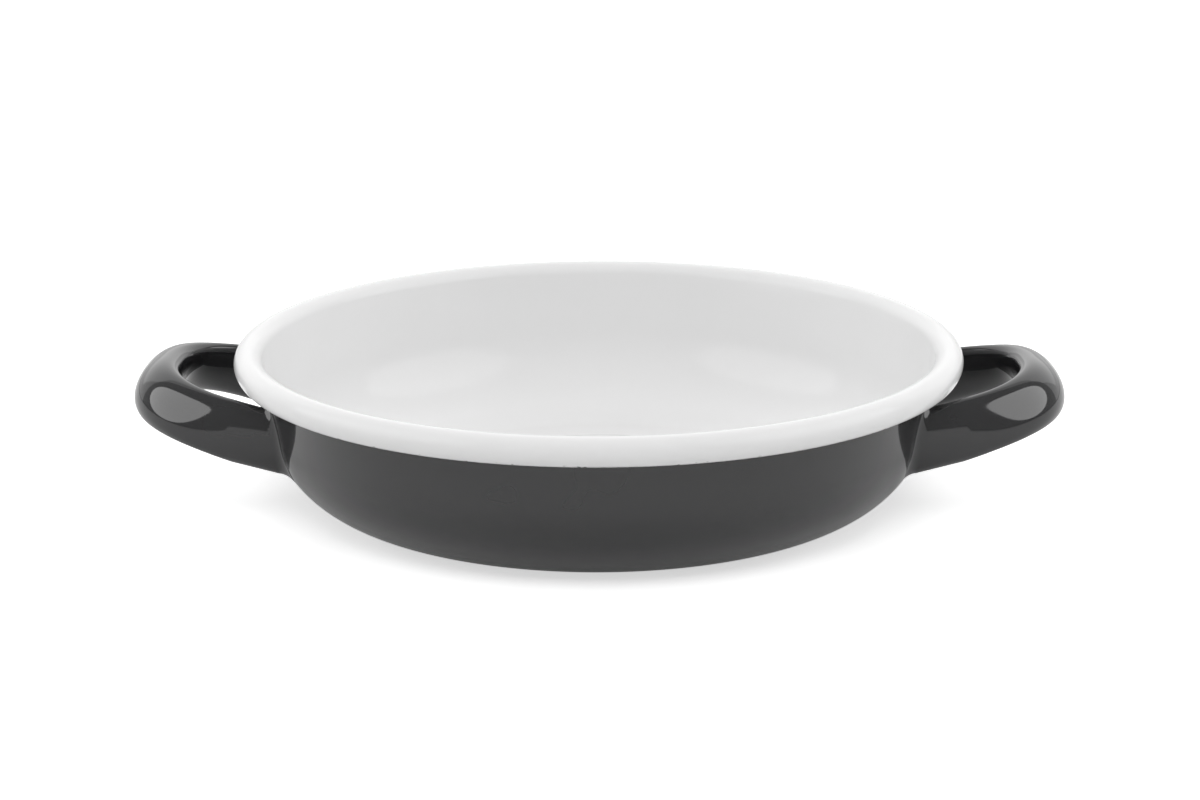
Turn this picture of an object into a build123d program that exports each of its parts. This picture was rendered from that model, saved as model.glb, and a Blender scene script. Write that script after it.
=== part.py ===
"""Shallow round enamelled steel pan with two loop handles.

The pan is one sheet of steel pressed to shape, its rim curled outward into a round roll. Two hollow
pressed handles are welded to its wall. Dark grey enamel covers the outside and the handles, and is
part of their thickness here. White enamel lines the inside and covers the roll, and is a layer of
its own. Millimetres, +Z up, the handles along X, the origin on the table under the pan's middle.
"""

import os
from math import acos, asin, atan2, cos, degrees, radians, sin

from build123d import *

os.makedirs("parts", exist_ok=True)

# Pan, to the outside of the fired enamel
rim_diameter = 250.0
pan_height = 55.5
corner_radius = 34.0
wall_draft = 8.5
roll_radius = 4.8

# Steel sheet with the grey enamel on it, and the white enamel over its inner face
sheet_thickness = 1.25
lining_thickness = 0.25

# The end of the curled rim stops just short of the wall
curl_gap = 0.3

# The pan stands on a ring, and the middle of its base is pressed up
ring_width = 12.0
step_width = 6.0
base_rise = 0.9

# Centre line of a loop handle: from a little inside the rim's edge, a squared-off half ellipse in plan
# that climbs to its tip
loop_inset = 14.3
loop_depth = 41.2
loop_half_width = 35.7
loop_squareness = 2.5
loop_rise = 11.3
under_roll_gap = 1.25

# Its oval section, width and height, and how far the section's top leans in towards the pan
root_oval = (11.2, 24.0)
arm_oval = (9.0, 20.4)
tip_oval = (13.4, 20.8)
root_lean = -7.0
tip_lean = 38.0

# Each handle is pressed from sheet, with a slit underneath and feet that flare out on the wall
handle_sheet = 1.2
slit_width = 3.0
foot_flare = 3.0

# The handles are welded on a little turned, one each way
handle_set = 0.55

# Turns at which the loop's arc and the flare of its feet are drawn, and the turn where the slit ends
turn_step = 9
slit_end_turn = 63
flared_foot = (90, 60, 30, 0)
plain_foot = (0,)

# Worked out from the sizes above
shell_thickness = sheet_thickness + lining_thickness
draft = radians(wall_draft)
roll_x = rim_diameter / 2 - roll_radius
roll_z = pan_height - roll_radius
curl_space = roll_radius - shell_thickness
curl_sweep = 360 - degrees(acos((curl_space - curl_gap) / roll_radius))
base_radius = roll_x - (corner_radius + curl_space + (roll_z - corner_radius) * sin(draft)) / cos(draft)
step_outer = base_radius - ring_width
step_inner = step_outer - step_width
loop_start = rim_diameter / 2 - loop_inset
root_height = roll_z - roll_radius - under_roll_gap - foot_flare - root_oval[1] / 2
set_axis = Axis((0, 0, root_height + loop_rise), (1, 0, 0))


def polar(centre, radius, angle):
    """The point at a radius and an angle in degrees round a centre."""
    return (centre[0] + radius * cos(radians(angle)), centre[1] + radius * sin(radians(angle)))


def pressed_line(depth):
    """Draws the pan's half section at a depth inside its grey face, from the middle to the wall's top."""
    start = (0, base_rise + depth)
    corner = (base_radius, corner_radius)
    wall_top = polar((roll_x, roll_z), curl_space + depth, 180 - wall_draft)
    Polyline(start, (step_inner, base_rise + depth), (step_outer, depth), (base_radius, depth))
    CenterArc(corner, corner_radius - depth, 270, 90 - wall_draft)
    Line(polar(corner, corner_radius - depth, -wall_draft), wall_top)
    return start, wall_top


def layer_section(outer_depth, inner_depth):
    """The half section of the layer between two depths, from the base's middle to the curl's end."""
    starts, ends = [], []
    with BuildSketch(Plane.XZ) as section:
        with BuildLine():
            for depth in (outer_depth, inner_depth):
                start, wall_top = pressed_line(depth)
                curl = CenterArc((roll_x, roll_z), curl_space + depth, 180 - wall_draft, -curl_sweep)
                starts.append(start)
                ends.append(curl @ 1)
            Line(*starts)
            Line(*ends)
        make_face()
    return section.sketch


def inside_of_pan():
    """All that lies inside the pan's grey face up to the rim, where the handles' feet stop."""
    with BuildSketch(Plane.XZ) as section:
        with BuildLine():
            start, wall_top = pressed_line(0)
            Polyline(wall_top, (roll_x, pan_height), (0, pan_height), start)
        make_face()
    with BuildPart() as inside:
        revolve(section.sketch, axis=Axis.Z)
    return inside.part


def wall_radius(height):
    """The grey face's radius at a height, on the base corner or on the straight wall above it."""
    below = corner_radius - height
    if below > corner_radius * sin(draft):
        return base_radius + (corner_radius**2 - below**2) ** 0.5
    return base_radius + (corner_radius - below * sin(draft)) / cos(draft)


def through(root, arm, tip, share):
    """The value at a share of the way along a smooth change from root through arm to tip."""
    left = 1 - share
    return root * left * (left - share) + 4 * arm * share * left + tip * share * (share - left)


def arm_station(x, y, outward, growth, facing):
    """The plane across the loop at one place, and its oval's width and height there."""
    share = max(0.0, (x - loop_start) / loop_depth)
    lean = radians(root_lean + (tip_lean - root_lean) * share)
    across = outward * cos(lean) + Vector(0, 0, sin(lean))
    width = through(root_oval[0], arm_oval[0], tip_oval[0], share) + 2 * growth
    tall = through(root_oval[1], arm_oval[1], tip_oval[1], share) + 2 * growth
    return Plane(origin=(x, y, root_height + loop_rise * share), x_dir=across, z_dir=facing), width, tall


def foot_stations(side, flare_turns):
    """The ovals of one foot, square to the wall, from inside it out round its quarter-circle flare."""
    radius = wall_radius(root_height)
    round_turn = asin(loop_half_width / radius)
    top, bottom = root_height + root_oval[1] / 2, root_height - root_oval[1] / 2
    tilt = atan2(wall_radius(top) - wall_radius(bottom), top - bottom)
    facing = Vector(side * cos(round_turn) * cos(tilt), sin(round_turn) * cos(tilt), -side * sin(tilt))
    wall_x = radius * cos(round_turn)
    places = [(wall_x - root_oval[1] / 2, foot_flare * (1 - cos(radians(flare_turns[0]))))]
    for turn in flare_turns:
        growth = foot_flare * (1 - cos(radians(turn)))
        places.append((wall_x + foot_flare * (1 - sin(radians(turn))), growth))
    outward = Vector(0, side, 0)
    return [arm_station(x, side * loop_half_width, outward, growth, facing) for x, growth in places]


def arc_stations(end_turn):
    """The ovals round the loop's arc, from a turn before its tip to the same turn past it."""
    stations = []
    power = 2 / loop_squareness
    stops = round(end_turn / turn_step)
    for stop in range(-stops, stops + 1):
        turn = stop * turn_step
        side = 1 if turn > 0 else -1
        c = cos(radians(turn))
        s = abs(sin(radians(turn)))
        slope = (c ** (2 - power) / loop_depth, side * s ** (2 - power) / loop_half_width)
        outward = Vector(*slope, 0).normalized()
        place = (loop_start + loop_depth * c**power, side * loop_half_width * s**power)
        stations.append(arm_station(*place, outward, 0, outward.cross(Vector(0, 0, 1))))
    return stations


def loop_bar(inset, flare_turns):
    """The oval bar along the loop, drawn in all round by an inset, its feet flared or plain."""
    arc = arc_stations(90 - turn_step)
    front = foot_stations(-1, flare_turns) + arc[:1]
    back = foot_stations(1, flare_turns) + arc[-1:]
    with BuildPart() as bar:
        for stretch in (front, arc, back):
            for plane, width, tall in stretch:
                with BuildSketch(plane):
                    Ellipse(width / 2 - inset, tall / 2 - inset)
            loft(ruled=True)
    return bar.part


def underside_slit():
    """The cut through the underside of the loop, which ends a little short of its two feet."""
    with BuildPart() as slit:
        for plane, width, tall in arc_stations(slit_end_turn):
            with BuildSketch(plane):
                with Locations((0, -tall / 2)):
                    Rectangle(slit_width, 4 * handle_sheet)
        loft(ruled=True)
    return slit.part


def loop_handle(set_angle):
    """A hollow handle at +X, turned by its set, with feet that follow the wall."""
    with BuildPart() as handle:
        add(loop_bar(0, flared_foot).rotate(set_axis, set_angle))
        add(loop_bar(handle_sheet, plain_foot).rotate(set_axis, set_angle), mode=Mode.SUBTRACT)
        add(underside_slit().rotate(set_axis, set_angle), mode=Mode.SUBTRACT)
        add(inside_of_pan(), mode=Mode.SUBTRACT)
    return handle.part


with BuildPart() as pan_body:
    revolve(layer_section(0, sheet_thickness), axis=Axis.Z)
pan_body.part.label = "pan_body"
export_step(pan_body.part, "parts/pan_body.step")

with BuildPart() as white_lining:
    revolve(layer_section(sheet_thickness, shell_thickness), axis=Axis.Z)
white_lining.part.label = "white_lining"
export_step(white_lining.part, "parts/white_lining.step")

with BuildPart() as right_handle:
    add(loop_handle(-handle_set))
right_handle.part.label = "right_handle"
export_step(right_handle.part, "parts/right_handle.step")

with BuildPart() as left_handle:
    add(loop_handle(handle_set))
    mirror(about=Plane.YZ, mode=Mode.REPLACE)
left_handle.part.label = "left_handle"
export_step(left_handle.part, "parts/left_handle.step")
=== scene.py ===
from math import acos, atan, cos, pi, radians, sin, sqrt, tau

import bmesh
import bpy
from mathutils import Matrix, Vector


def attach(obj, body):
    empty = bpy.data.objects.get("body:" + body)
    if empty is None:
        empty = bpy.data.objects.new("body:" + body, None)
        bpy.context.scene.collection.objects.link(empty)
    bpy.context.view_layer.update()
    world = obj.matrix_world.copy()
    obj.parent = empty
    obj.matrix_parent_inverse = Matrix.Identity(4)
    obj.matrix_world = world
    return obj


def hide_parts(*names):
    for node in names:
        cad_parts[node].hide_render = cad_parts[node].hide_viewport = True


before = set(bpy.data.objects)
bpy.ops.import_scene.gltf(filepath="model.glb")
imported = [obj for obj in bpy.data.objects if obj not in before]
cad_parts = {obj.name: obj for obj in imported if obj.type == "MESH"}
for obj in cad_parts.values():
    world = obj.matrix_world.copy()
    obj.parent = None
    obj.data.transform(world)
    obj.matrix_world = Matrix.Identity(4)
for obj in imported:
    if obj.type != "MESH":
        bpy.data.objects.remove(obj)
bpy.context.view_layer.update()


# Pressed pan: one steel sheet drawn into a shallow bowl, its base pressed up inside a standing ring and
# its rim curled outward into a roll. Outside it carries dark grey fired enamel, glossy, with the faint
# waviness that enamel keeps from running in the furnace.
rim_radius = 0.125
pan_height = 0.0555
roll_radius = 0.0048
roll_x = rim_radius - roll_radius
roll_z = pan_height - roll_radius
sheet = 0.00125
lining = 0.00025
draft = radians(8.5)
corner_radius = 0.034
curl_space = roll_radius - sheet - lining
curl_gap = 0.0003
curl_sweep = tau - acos((curl_space - curl_gap) / roll_radius)
wall_run = corner_radius + curl_space + (roll_z - corner_radius) * sin(draft)
base_radius = roll_x - wall_run / cos(draft)
ring_width = 0.012
ring_inside = base_radius - ring_width
step_width = 0.006
step_inside = ring_inside - step_width
base_rise = 0.0009


def pressed_outline(depth):
    line = []
    for i in range(13):
        line.append((step_inside * i / 12, base_rise + depth))
    for i in range(1, 13):
        share = i / 12
        reach = step_inside + (ring_inside - step_inside) * share
        line.append((reach, depth + base_rise * (1 + cos(pi * share)) / 2))
    for i in range(1, 5):
        line.append((ring_inside + (base_radius - ring_inside) * i / 4, depth))
    for i in range(1, 41):
        turn = -pi / 2 + (pi / 2 - draft) * i / 40
        reach = corner_radius - depth
        line.append((base_radius + reach * cos(turn), corner_radius + reach * sin(turn)))
    foot = line[-1]
    reach = curl_space + depth
    top = (roll_x + reach * cos(pi - draft), roll_z + reach * sin(pi - draft))
    for i in range(1, 9):
        line.append((foot[0] + (top[0] - foot[0]) * i / 8, foot[1] + (top[1] - foot[1]) * i / 8))
    for i in range(1, 61):
        turn = pi - draft - curl_sweep * i / 60
        line.append((roll_x + reach * cos(turn), roll_z + reach * sin(turn)))
    return line


def spun(name, outline):
    bm = bmesh.new()
    verts = [bm.verts.new((r, 0, z)) for r, z in outline]
    edges = [bm.edges.new((verts[i], verts[i + 1])) for i in range(len(verts) - 1)]
    profile = verts + edges
    bmesh.ops.spin(
        bm, geom=profile, axis=(0, 0, 1), cent=(0, 0, 0), steps=224, angle=tau, use_merge=True
    )
    bmesh.ops.remove_doubles(bm, verts=bm.verts, dist=0.000001)
    bmesh.ops.recalc_face_normals(bm, faces=bm.faces)
    for face in bm.faces:
        face.smooth = True
    for edge in bm.edges:
        edge.smooth = edge.calc_face_angle(0) < radians(40)
    mesh = bpy.data.meshes.new(name)
    bm.to_mesh(mesh)
    bm.free()
    piece = bpy.data.objects.new(name, mesh)
    bpy.context.collection.objects.link(piece)
    return piece


def enamel_group():
    group = bpy.data.node_groups.new("fired_enamel", "ShaderNodeTree")
    for name, kind, value in (
        ("Enamel", "NodeSocketColor", (0.5, 0.5, 0.5, 1)),
        ("Pooled", "NodeSocketColor", (0.45, 0.45, 0.45, 1)),
        ("Flow Scale", "NodeSocketFloat", 18.0),
        ("Peel Scale", "NodeSocketFloat", 260.0),
        ("Peel Depth", "NodeSocketFloat", 0.02),
        ("Gloss Low", "NodeSocketFloat", 0.04),
        ("Gloss High", "NodeSocketFloat", 0.12),
    ):
        group.interface.new_socket(name, in_out="INPUT", socket_type=kind).default_value = value
    group.interface.new_socket("Colour", in_out="OUTPUT", socket_type="NodeSocketColor")
    group.interface.new_socket("Roughness", in_out="OUTPUT", socket_type="NodeSocketFloat")
    group.interface.new_socket("Normal", in_out="OUTPUT", socket_type="NodeSocketVector")
    nodes, links = group.nodes, group.links
    given = nodes.new("NodeGroupInput")
    out = nodes.new("NodeGroupOutput")
    place = nodes.new("ShaderNodeTexCoord")
    flow = nodes.new("ShaderNodeTexNoise")
    flow.inputs["Detail"].default_value = 3.0
    links.new(place.outputs["Object"], flow.inputs["Vector"])
    links.new(given.outputs["Flow Scale"], flow.inputs["Scale"])
    tint = nodes.new("ShaderNodeMix")
    tint.data_type = "RGBA"
    links.new(flow.outputs["Fac"], tint.inputs["Factor"])
    links.new(given.outputs["Enamel"], tint.inputs["A"])
    links.new(given.outputs["Pooled"], tint.inputs["B"])
    links.new(tint.outputs["Result"], out.inputs["Colour"])
    gloss = nodes.new("ShaderNodeMapRange")
    gloss.inputs["From Min"].default_value = 0.3
    gloss.inputs["From Max"].default_value = 0.7
    links.new(flow.outputs["Fac"], gloss.inputs["Value"])
    links.new(given.outputs["Gloss Low"], gloss.inputs["To Min"])
    links.new(given.outputs["Gloss High"], gloss.inputs["To Max"])
    links.new(gloss.outputs["Result"], out.inputs["Roughness"])
    peel = nodes.new("ShaderNodeTexNoise")
    peel.inputs["Detail"].default_value = 1.0
    links.new(place.outputs["Object"], peel.inputs["Vector"])
    links.new(given.outputs["Peel Scale"], peel.inputs["Scale"])
    bump = nodes.new("ShaderNodeBump")
    bump.inputs["Distance"].default_value = 0.0002
    links.new(peel.outputs["Fac"], bump.inputs["Height"])
    links.new(given.outputs["Peel Depth"], bump.inputs["Strength"])
    links.new(bump.outputs["Normal"], out.inputs["Normal"])
    return group


fired_enamel = enamel_group()


def enamel(name, colour, pooled, peel_scale, peel_depth, gloss_low, gloss_high):
    material = bpy.data.materials.new(name)
    material.use_nodes = True
    nodes, links = material.node_tree.nodes, material.node_tree.links
    shader = nodes["Principled BSDF"]
    skin = nodes.new("ShaderNodeGroup")
    skin.node_tree = fired_enamel
    skin.inputs["Enamel"].default_value = (*colour, 1)
    skin.inputs["Pooled"].default_value = (*pooled, 1)
    skin.inputs["Peel Scale"].default_value = peel_scale
    skin.inputs["Peel Depth"].default_value = peel_depth
    skin.inputs["Gloss Low"].default_value = gloss_low
    skin.inputs["Gloss High"].default_value = gloss_high
    links.new(skin.outputs["Colour"], shader.inputs["Base Color"])
    links.new(skin.outputs["Roughness"], shader.inputs["Roughness"])
    links.new(skin.outputs["Normal"], shader.inputs["Normal"])
    shader.inputs["IOR"].default_value = 1.58
    return material, skin, shader


grey_enamel, grey_skin, grey_shader = enamel(
    "grey_enamel", (0.02, 0.02, 0.021), (0.015, 0.015, 0.016), 210, 0.03, 0.035, 0.08
)

grey_face = pressed_outline(0)
steel_face = pressed_outline(sheet)
pan = spun("pan_shell", grey_face + steel_face[::-1])
pan.data.materials.append(grey_enamel)
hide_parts("pan_body")
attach(pan, "root")


# White lining: the lighter enamel flowed over the inside of the sheet and round the roll, down to the
# roll's underside, where it ends against the dark outside in a thin border with a few burnt specks.
white_enamel, white_skin, white_shader = enamel(
    "white_enamel", (0.82, 0.82, 0.82), (0.79, 0.79, 0.79), 170, 0.02, 0.07, 0.13
)
white_shader.inputs["Specular IOR Level"].default_value = 0.1
nodes, links = white_enamel.node_tree.nodes, white_enamel.node_tree.links
place = nodes.new("ShaderNodeTexCoord")
split = nodes.new("ShaderNodeSeparateXYZ")
links.new(place.outputs["Object"], split.inputs["Vector"])
low = nodes.new("ShaderNodeMapRange")
specks_start, specks_full = 0.0034, 0.0042
low.inputs["From Min"].default_value = roll_z - specks_start
low.inputs["From Max"].default_value = roll_z - specks_full
links.new(split.outputs["Z"], low.inputs["Value"])
flat = nodes.new("ShaderNodeVectorMath")
flat.operation = "MULTIPLY"
flat.inputs[1].default_value = (1, 1, 0)
links.new(place.outputs["Object"], flat.inputs[0])
span = nodes.new("ShaderNodeVectorMath")
span.operation = "LENGTH"
links.new(flat.outputs["Vector"], span.inputs[0])
outer = nodes.new("ShaderNodeMath")
outer.operation = "GREATER_THAN"
outer.inputs[1].default_value = roll_x - specks_full
links.new(span.outputs["Value"], outer.inputs[0])
specks = nodes.new("ShaderNodeTexNoise")
specks.inputs["Scale"].default_value = 420.0
specks.inputs["Detail"].default_value = 2.0
links.new(place.outputs["Object"], specks.inputs["Vector"])
few = nodes.new("ShaderNodeMath")
few.operation = "GREATER_THAN"
speck_threshold = 0.64
few.inputs[1].default_value = speck_threshold
links.new(specks.outputs["Fac"], few.inputs[0])
near = nodes.new("ShaderNodeMath")
near.operation = "MULTIPLY"
links.new(low.outputs["Result"], near.inputs[0])
links.new(outer.outputs["Value"], near.inputs[1])
burnt = nodes.new("ShaderNodeMath")
burnt.operation = "MULTIPLY"
links.new(near.outputs["Value"], burnt.inputs[0])
links.new(few.outputs["Value"], burnt.inputs[1])
border = nodes.new("ShaderNodeMix")
border.data_type = "RGBA"
burnt_edge = (0.06, 0.058, 0.056, 1)
border.inputs["B"].default_value = burnt_edge
links.new(burnt.outputs["Value"], border.inputs["Factor"])
links.new(white_skin.outputs["Colour"], border.inputs["A"])
links.new(border.outputs["Result"], white_shader.inputs["Base Color"])

white_face = pressed_outline(sheet + lining)
lined = spun("white_lining_skin", steel_face + white_face[::-1])
lined.data.materials.append(white_enamel)
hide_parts("white_lining")
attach(lined, "root")


# Loop handles: each is pressed from sheet into a closed loop of leaning oval section, open in a slit
# along its underside, and its feet flare out where they are welded to the wall. Both are dipped in the
# same grey enamel as the outside.
loop_depth = 0.0412
loop_half_width = 0.0357
loop_inset = 0.0143
loop_start = rim_radius - loop_inset
foot_flare = 0.003
root_wide, root_tall = 0.0112, 0.024
arm_wide, arm_tall = 0.009, 0.0204
tip_wide, tip_tall = 0.0134, 0.0208
root_lean, tip_lean = -7, 38
under_roll_gap = 0.00125
root_height = roll_z - roll_radius - under_roll_gap - foot_flare - root_tall / 2
loop_rise = 0.0113
handle_sheet = 0.0012
squareness = 2.5
loop_power = 2 / squareness
foot_sink = 0.0004
slit_row = 17


def wall_reach(height, side_way):
    below = corner_radius - height
    if below > corner_radius * sin(draft):
        radius = base_radius + sqrt(corner_radius**2 - below**2)
    else:
        radius = base_radius + (corner_radius - below * sin(draft)) / cos(draft)
    return sqrt(radius**2 - side_way**2)


def smooth_change(root, arm, tip, share):
    left = 1 - share
    return root * left * (left - share) + 4 * arm * share * left + tip * share * (share - left)


def oval_point(centre, outward, share, growth, turn):
    lean = radians(root_lean + (tip_lean - root_lean) * max(0.0, share))
    across = outward * cos(lean) + Vector((0, 0, sin(lean)))
    up = Vector((0, 0, cos(lean))) - outward * sin(lean)
    width = smooth_change(root_wide, arm_wide, tip_wide, share) / 2 + growth
    tall = smooth_change(root_tall, arm_tall, tip_tall, share) / 2 + growth
    return centre + across * (width * cos(turn)) + up * (tall * sin(turn))


def loop_rings():
    around = 72
    rings = []
    for turn in (115, 100, 90, 80, 70, 60, 50, 40, 30, 20, 10, 0):
        growth = foot_flare * (1 - cos(radians(min(turn, 90))))
        stand = foot_flare * (1 - sin(radians(min(turn, 90)))) - foot_sink * ((turn > 90) + (turn > 100))
        ring = []
        for i in range(around):
            start = Vector((0, -loop_half_width, root_height))
            spot = oval_point(start, Vector((0, -1, 0)), 0, growth, tau * i / around)
            spot.x = wall_reach(spot.z, spot.y) + stand
            ring.append(spot)
        rings.append(ring)
    for turn in range(-78, 1, 2):
        c, s = cos(radians(turn)), abs(sin(radians(turn)))
        ahead = c ** (2 - loop_power) / loop_depth
        aside = -(s ** (2 - loop_power)) / loop_half_width
        outward = Vector((ahead, aside, 0)).normalized()
        share = c**loop_power
        height = root_height + loop_rise * share
        centre = Vector((loop_start + loop_depth * share, -loop_half_width * s**loop_power, height))
        rings.append([oval_point(centre, outward, share, 0, tau * i / around) for i in range(around)])
    back = [[Vector((p.x, -p.y, p.z)) for p in ring] for ring in rings[:-1]]
    return rings + back[::-1]


def loop_handle(name, node, side, handle_set):
    rings = loop_rings()
    around = len(rings[0])
    tip_height = root_height + loop_rise
    settle = Matrix.Translation((0, 0, tip_height)) @ Matrix.Rotation(radians(handle_set), 4, "X")
    settle = settle @ Matrix.Translation((0, 0, -tip_height))
    bm = bmesh.new()
    rows = []
    for ring in rings:
        row = []
        for spot in ring:
            spot = settle @ spot
            row.append(bm.verts.new((side * spot.x, spot.y, spot.z)))
        rows.append(row)
    middle = around * 3 // 4
    for j in range(len(rows) - 1):
        for i in range(around):
            k = (i + 1) % around
            if slit_row <= j < len(rows) - 1 - slit_row and middle - 2 <= i < middle + 2:
                continue
            bm.faces.new((rows[j][i], rows[j][k], rows[j + 1][k], rows[j + 1][i]))
    bmesh.ops.recalc_face_normals(bm, faces=bm.faces)
    for face in bm.faces:
        face.smooth = True
    mesh = bpy.data.meshes.new(name)
    bm.to_mesh(mesh)
    bm.free()
    piece = bpy.data.objects.new(name, mesh)
    bpy.context.collection.objects.link(piece)
    wall = piece.modifiers.new("sheet", "SOLIDIFY")
    wall.thickness = handle_sheet
    wall.offset = -1
    piece.data.materials.append(grey_enamel)
    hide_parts(node)
    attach(piece, "root")


loop_handle("right_loop", "right_handle", 1, -0.55)
loop_handle("left_loop", "left_handle", -1, 0.55)


# Studio: a pale seamless floor, an oval softbox on each side that only shows in the gloss, a wide light
# behind, plain fills that leave no mirror image, and grey cloth round the front and sides.
world = bpy.data.worlds.new("pale_room")
bpy.context.scene.world = world
world.use_nodes = True
nodes, links = world.node_tree.nodes, world.node_tree.links
room = nodes["Background"]
room.inputs["Color"].default_value = (1, 1, 1, 1)
seen = nodes.new("ShaderNodeBackground")
seen.inputs["Color"].default_value = (1, 1, 1, 1)
seen.inputs["Strength"].default_value = 1.0
room.inputs["Strength"].default_value = 0.2
path = nodes.new("ShaderNodeLightPath")
either = nodes.new("ShaderNodeMath")
either.operation = "MAXIMUM"
links.new(path.outputs["Is Camera Ray"], either.inputs[0])
links.new(path.outputs["Is Glossy Ray"], either.inputs[1])
any_seen = nodes.new("ShaderNodeMath")
any_seen.operation = "MAXIMUM"
links.new(either.outputs["Value"], any_seen.inputs[0])
links.new(path.outputs["Is Transmission Ray"], any_seen.inputs[1])
pick = nodes.new("ShaderNodeMixShader")
links.new(any_seen.outputs["Value"], pick.inputs["Fac"])
links.new(room.outputs["Background"], pick.inputs[1])
links.new(seen.outputs["Background"], pick.inputs[2])
links.new(pick.outputs["Shader"], nodes["World Output"].inputs["Surface"])

floor_mesh = bpy.data.meshes.new("floor")
floor_mesh.from_pydata([(-6, -6, 0), (6, -6, 0), (6, 6, 0), (-6, 6, 0)], [], [(0, 1, 2, 3)])
floor = bpy.data.objects.new("floor", floor_mesh)
bpy.context.collection.objects.link(floor)
pale = bpy.data.materials.new("pale_floor")
pale.use_nodes = True
nodes, links = pale.node_tree.nodes, pale.node_tree.links
paper = nodes["Principled BSDF"]
paper.inputs["Base Color"].default_value = (0.9, 0.9, 0.9, 1)
paper.inputs["Roughness"].default_value = 0.9
paper.inputs["Specular IOR Level"].default_value = 0.0
lift = nodes.new("ShaderNodeEmission")
path = nodes.new("ShaderNodeLightPath")
shown = nodes.new("ShaderNodeMath")
shown.operation = "MULTIPLY"
shown.inputs[1].default_value = 0.6
mirrored = nodes.new("ShaderNodeMath")
mirrored.operation = "MULTIPLY_ADD"
mirrored.inputs[1].default_value = 0.12
links.new(path.outputs["Is Camera Ray"], shown.inputs[0])
links.new(path.outputs["Is Glossy Ray"], mirrored.inputs[0])
links.new(shown.outputs["Value"], mirrored.inputs[2])
links.new(mirrored.outputs["Value"], lift.inputs["Strength"])
both = nodes.new("ShaderNodeAddShader")
links.new(paper.outputs["BSDF"], both.inputs[0])
links.new(lift.outputs["Emission"], both.inputs[1])
links.new(both.outputs["Shader"], nodes["Material Output"].inputs["Surface"])
pale.cycles.emission_sampling = "NONE"
floor.data.materials.append(pale)


aim = Vector((0, 0, 0.05))


def panel_light(name, place, wide, high, watts):
    lamp = bpy.data.lights.new(name, "AREA")
    lamp.shape = "RECTANGLE"
    lamp.size = wide
    lamp.size_y = high
    lamp.energy = watts
    box = bpy.data.objects.new(name, lamp)
    box.location = place
    box.rotation_euler = (aim - Vector(place)).to_track_quat("-Z", "Y").to_euler()
    bpy.context.collection.objects.link(box)
    return box


for name, place, wide, high, watts in (
    ("left_softbox", (-1.12, -0.34, 0.56), 1.52, 1.12, 12),
    ("right_softbox", (1.13, -0.32, 0.68), 1.5, 1.24, 13.2),
):
    box = panel_light(name, place, wide, high, watts)
    box.data.shape = "ELLIPSE"
    box.visible_diffuse = False
panel_light("backdrop_light", (0, 1.5, 1.15), 4.4, 1.8, 13)
for name, place, wide, high, watts in (
    ("left_fill", (-1.15, -0.27, 0.5), 1.3, 0.86, 3.8),
    ("right_fill", (1.15, -0.27, 0.5), 1.3, 0.86, 3.8),
    ("left_back_fill", (-1.3, 0.9, 0.6), 1.0, 1.0, 5.4),
    ("right_back_fill", (1.3, 0.9, 0.6), 1.0, 1.0, 5.4),
    ("top_fill", (0, 0, 1.6), 1.6, 1.6, 10),
    ("front_fill", (0, -1.1, 1.35), 1.2, 0.9, 11.5),
):
    panel_light(name, place, wide, high, watts).visible_glossy = False

screen_mesh = bpy.data.meshes.new("dark_screen")
screen_radius = 1.9
rows = []
for lift_angle in range(1, 79, 7):
    for side_angle in range(-206, 29, 6):
        a, b = radians(side_angle), radians(lift_angle)
        out = screen_radius * cos(b)
        rows.append((out * cos(a), out * sin(a), screen_radius * sin(b)))
across = 40
faces = []
for j in range(len(rows) // across - 1):
    for i in range(across - 1):
        k = j * across + i
        faces.append((k, k + 1, k + 1 + across, k + across))
screen_mesh.from_pydata(rows, [], faces)
screen = bpy.data.objects.new("dark_screen", screen_mesh)
bpy.context.collection.objects.link(screen)
screen.visible_camera = False
cloth = bpy.data.materials.new("dark_cloth")
cloth.use_nodes = True
nodes, links = cloth.node_tree.nodes, cloth.node_tree.links
weave = nodes["Principled BSDF"]
weave.inputs["Base Color"].default_value = (0.12, 0.12, 0.12, 1)
weave.inputs["Roughness"].default_value = 1.0
glow = nodes.new("ShaderNodeEmission")
path = nodes.new("ShaderNodeLightPath")
grey_seen = nodes.new("ShaderNodeMath")
grey_seen.operation = "MULTIPLY"
grey_seen.inputs[1].default_value = 0.36
links.new(path.outputs["Is Glossy Ray"], grey_seen.inputs[0])
links.new(grey_seen.outputs["Value"], glow.inputs["Strength"])
both = nodes.new("ShaderNodeAddShader")
links.new(weave.outputs["BSDF"], both.inputs[0])
links.new(glow.outputs["Emission"], both.inputs[1])
links.new(both.outputs["Shader"], nodes["Material Output"].inputs["Surface"])
cloth.cycles.emission_sampling = "NONE"
screen.data.materials.append(cloth)


# Camera: a long lens a metre from the middle of the rim, in front of the pan and looking down on it by
# about fifteen degrees, aimed slightly low and rolled by a fifth of a degree.
rim_middle = Vector((0, 0, roll_z))
orbit, rise = radians(1.05), radians(14.65)
camera = bpy.data.cameras.new("camera")
camera.lens = 86.97
camera.sensor_width = 36
shot = bpy.data.objects.new("camera", camera)
bpy.context.collection.objects.link(shot)
way = Vector((sin(orbit) * cos(rise), -cos(orbit) * cos(rise), sin(rise)))
turned = (-way).to_track_quat("-Z", "Y").to_matrix()
focal_pixels = 2899
aim_low, aim_aside = atan(47.8 / focal_pixels), atan(1.2 / focal_pixels)
turned = turned @ Matrix.Rotation(-aim_low, 3, "X")
turned = turned @ Matrix.Rotation(-aim_aside, 3, "Y")
turned = turned @ Matrix.Rotation(radians(-0.2), 3, "Z")
distance = 1.0
shot.matrix_world = Matrix.Translation(rim_middle + way * distance) @ turned.to_4x4()
bpy.context.scene.camera = shot

bpy.context.scene.view_settings.view_transform = "Standard"
